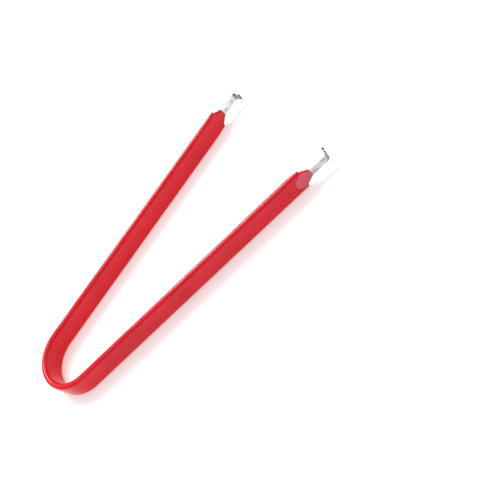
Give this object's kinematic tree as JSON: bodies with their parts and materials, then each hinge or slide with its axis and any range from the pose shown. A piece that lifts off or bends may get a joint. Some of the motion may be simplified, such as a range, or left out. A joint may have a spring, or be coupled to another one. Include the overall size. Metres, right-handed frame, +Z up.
{
  "type": "chip extractor",
  "caption": "U-shaped spring steel chip extractor with a plastic coated bow and arms, and bare tips that turn inward as small claws.",
  "frame": {"origin": "centre of the box on the plane the tool lies on, when it lies on the edges of its strip", "axes": "+X from the bow to the claws along the middle line, +Y to the left arm, +Z up across the width of the strip"},
  "size_m": [0.1206, 0.054, 0.0088],
  "materials": {
    "spring_steel": "satin nickel plated spring steel",
    "coat": "glossy dipped vinyl"
  },
  "bodies": {
    "bow": {"bow_spring": "spring_steel", "bow_coat": "coat"},
    "left_arm": {"left_arm_spring": "spring_steel", "left_arm_coat": "coat"},
    "right_arm": {"right_arm_spring": "spring_steel", "right_arm_coat": "coat"}
  },
  "joints": [
    {"name": "left_arm_squeeze", "type": "hinge", "parent": "bow", "child": "left_arm", "pos_m": [-0.02694, 0.01474, 0.0044], "axis": [0, 0, -1], "range_deg": [-5, 15], "stiffness_Nm_per_rad": 0.62},
    {"name": "right_arm_squeeze", "type": "hinge", "parent": "bow", "child": "right_arm", "pos_m": [-0.02694, -0.01474, 0.0044], "axis": [0, 0, 1], "range_deg": [-5, 15], "stiffness_Nm_per_rad": 0.62}
  ],
  "couplings": [
    {"joint": "right_arm_squeeze", "follows": "left_arm_squeeze", "ratio": 1}
  ]
}
